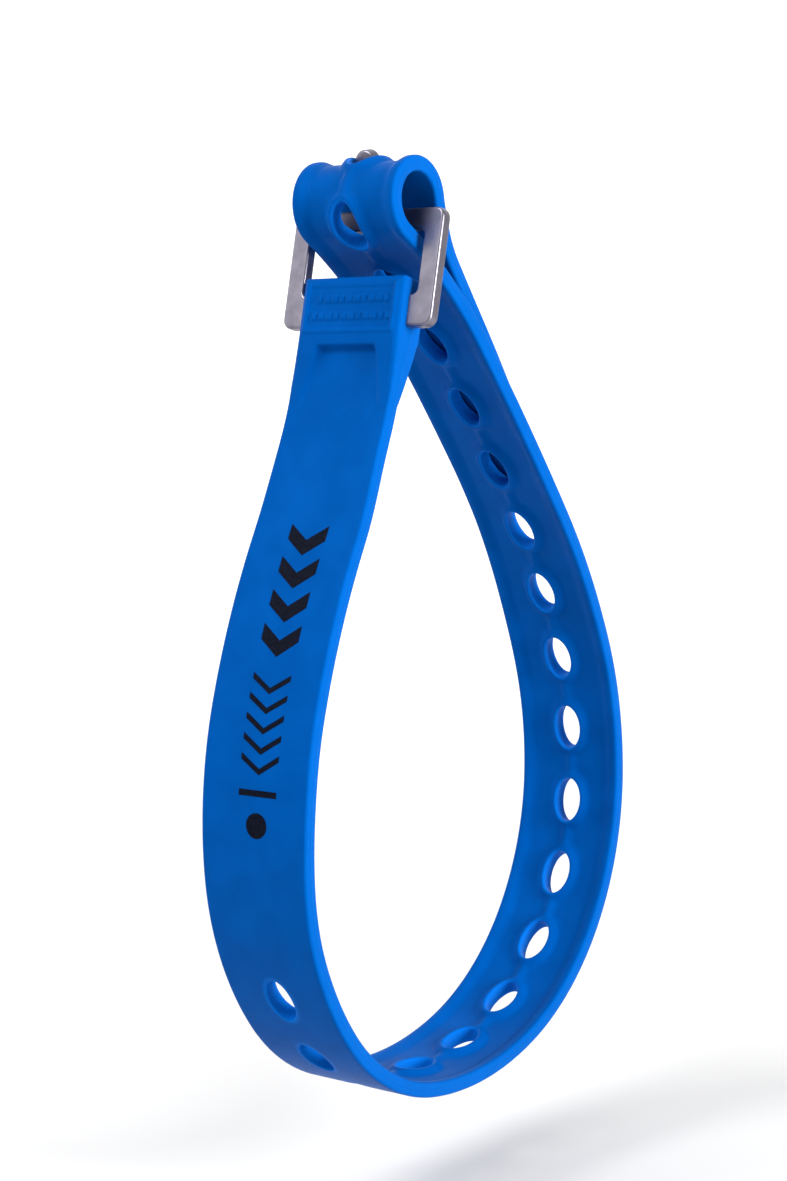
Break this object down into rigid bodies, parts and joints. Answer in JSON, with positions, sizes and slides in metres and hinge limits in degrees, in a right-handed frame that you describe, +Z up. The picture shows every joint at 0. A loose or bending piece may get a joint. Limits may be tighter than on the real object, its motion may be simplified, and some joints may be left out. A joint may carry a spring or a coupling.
{
  "type": "prong buckle utility strap",
  "caption": "Moulded elastomer strap with a row of holes, closed into a teardrop loop through a flat metal buckle whose prong stands in one hole.",
  "frame": {"origin": "middle of the box at the lowest point of the loop", "axes": "+X across the strap, +Y from the front run to the back run, +Z up towards the buckle"},
  "size_m": [0.035, 0.1096, 0.1819],
  "materials": {
    "strap": "satin moulded elastomer",
    "buckle": "tumbled satin"
  },
  "bodies": {
    "head": {"strap_head": "strap", "buckle": "buckle"},
    "front_run_upper": {"front_run_upper": "strap"},
    "front_run_lower": {"front_run_lower": "strap"},
    "bottom_bend_front": {"bottom_bend_front": "strap"},
    "bottom_bend_back": {"bottom_bend_back": "strap"},
    "back_run_lower": {"back_run_lower": "strap"},
    "back_run_middle": {"back_run_middle": "strap"},
    "back_run_upper": {"back_run_upper": "strap"},
    "curl_front": {"curl_front": "strap"},
    "curl_top": {"curl_top": "strap"},
    "tail_root": {"tail_root": "strap"},
    "tail_upper": {"tail_upper": "strap"},
    "tail_lower": {"tail_lower": "strap"},
    "tail_tip": {"tail_tip": "strap"}
  },
  "joints": [
    {"name": "loop_squeeze", "type": "hinge", "parent": "head", "child": "front_run_upper", "pos_m": [0, -0.03079, 0.12592], "axis": [1, 0, 0], "range_deg": [0, 9], "stiffness_Nm_per_rad": 0.6},
    {"name": "flex_front_middle", "type": "hinge", "parent": "front_run_upper", "child": "front_run_lower", "pos_m": [0, -0.05054, 0.07901], "axis": [1, 0, 0], "range_deg": [-16.93, 0]},
    {"name": "flex_front_low", "type": "hinge", "parent": "front_run_lower", "child": "bottom_bend_front", "pos_m": [0, -0.04932, 0.0347], "axis": [1, 0, 0], "range_deg": [-11.46, 0]},
    {"name": "flex_bottom", "type": "hinge", "parent": "bottom_bend_front", "child": "bottom_bend_back", "pos_m": [0, -0.013, 0.00227], "axis": [1, 0, 0], "range_deg": [0, 17.62]},
    {"name": "flex_back_low", "type": "hinge", "parent": "bottom_bend_back", "child": "back_run_lower", "pos_m": [0, 0.03354, 0.0134], "axis": [1, 0, 0], "range_deg": [0, 13.41]},
    {"name": "flex_back_middle", "type": "hinge", "parent": "back_run_lower", "child": "back_run_middle", "pos_m": [0, 0.05325, 0.0566], "axis": [1, 0, 0], "range_deg": [-18.6, 0]},
    {"name": "flex_back_high", "type": "hinge", "parent": "back_run_middle", "child": "back_run_upper", "pos_m": [0, 0.02737, 0.11556], "axis": [1, 0, 0], "range_deg": [-10.4, 0]},
    {"name": "flex_window", "type": "hinge", "parent": "back_run_upper", "child": "curl_front", "pos_m": [0, -0.00491, 0.15264], "axis": [1, 0, 0], "range_deg": [0, 16.67]},
    {"name": "curl_open", "type": "hinge", "parent": "curl_front", "child": "curl_top", "pos_m": [0, -0.02571, 0.17488], "axis": [1, 0, 0], "range_deg": [0, 90], "stiffness_Nm_per_rad": 0.05},
    {"name": "tail_peel", "type": "hinge", "parent": "curl_top", "child": "tail_root", "pos_m": [0, -0.01317, 0.17339], "axis": [1, 0, 0], "range_deg": [0, 25], "stiffness_Nm_per_rad": 0.05},
    {"name": "flex_tail_upper", "type": "hinge", "parent": "tail_root", "child": "tail_upper", "pos_m": [0, -0.00556, 0.15918], "axis": [1, 0, 0], "range_deg": [0, 25.05]},
    {"name": "flex_tail_lower", "type": "hinge", "parent": "tail_upper", "child": "tail_lower", "pos_m": [0, 0.00552, 0.14709], "axis": [1, 0, 0], "range_deg": [0, 25.05]},
    {"name": "flex_tail_tip", "type": "hinge", "parent": "tail_lower", "child": "tail_tip", "pos_m": [0, 0.01642, 0.13484], "axis": [1, 0, 0], "range_deg": [0, 25.05]}
  ],
  "couplings": [
    {"joint": "flex_front_middle", "follows": "loop_squeeze", "ratio": -1.876},
    {"joint": "flex_front_low", "follows": "loop_squeeze", "ratio": -1.268},
    {"joint": "flex_bottom", "follows": "loop_squeeze", "ratio": 1.952},
    {"joint": "flex_back_low", "follows": "loop_squeeze", "ratio": 1.484},
    {"joint": "flex_back_middle", "follows": "loop_squeeze", "ratio": -2.061},
    {"joint": "flex_back_high", "follows": "loop_squeeze", "ratio": -1.15},
    {"joint": "flex_window", "follows": "loop_squeeze", "ratio": 1.847},
    {"joint": "flex_tail_upper", "follows": "tail_peel", "ratio": 1},
    {"joint": "flex_tail_lower", "follows": "tail_peel", "ratio": 1},
    {"joint": "flex_tail_tip", "follows": "tail_peel", "ratio": 1}
  ]
}
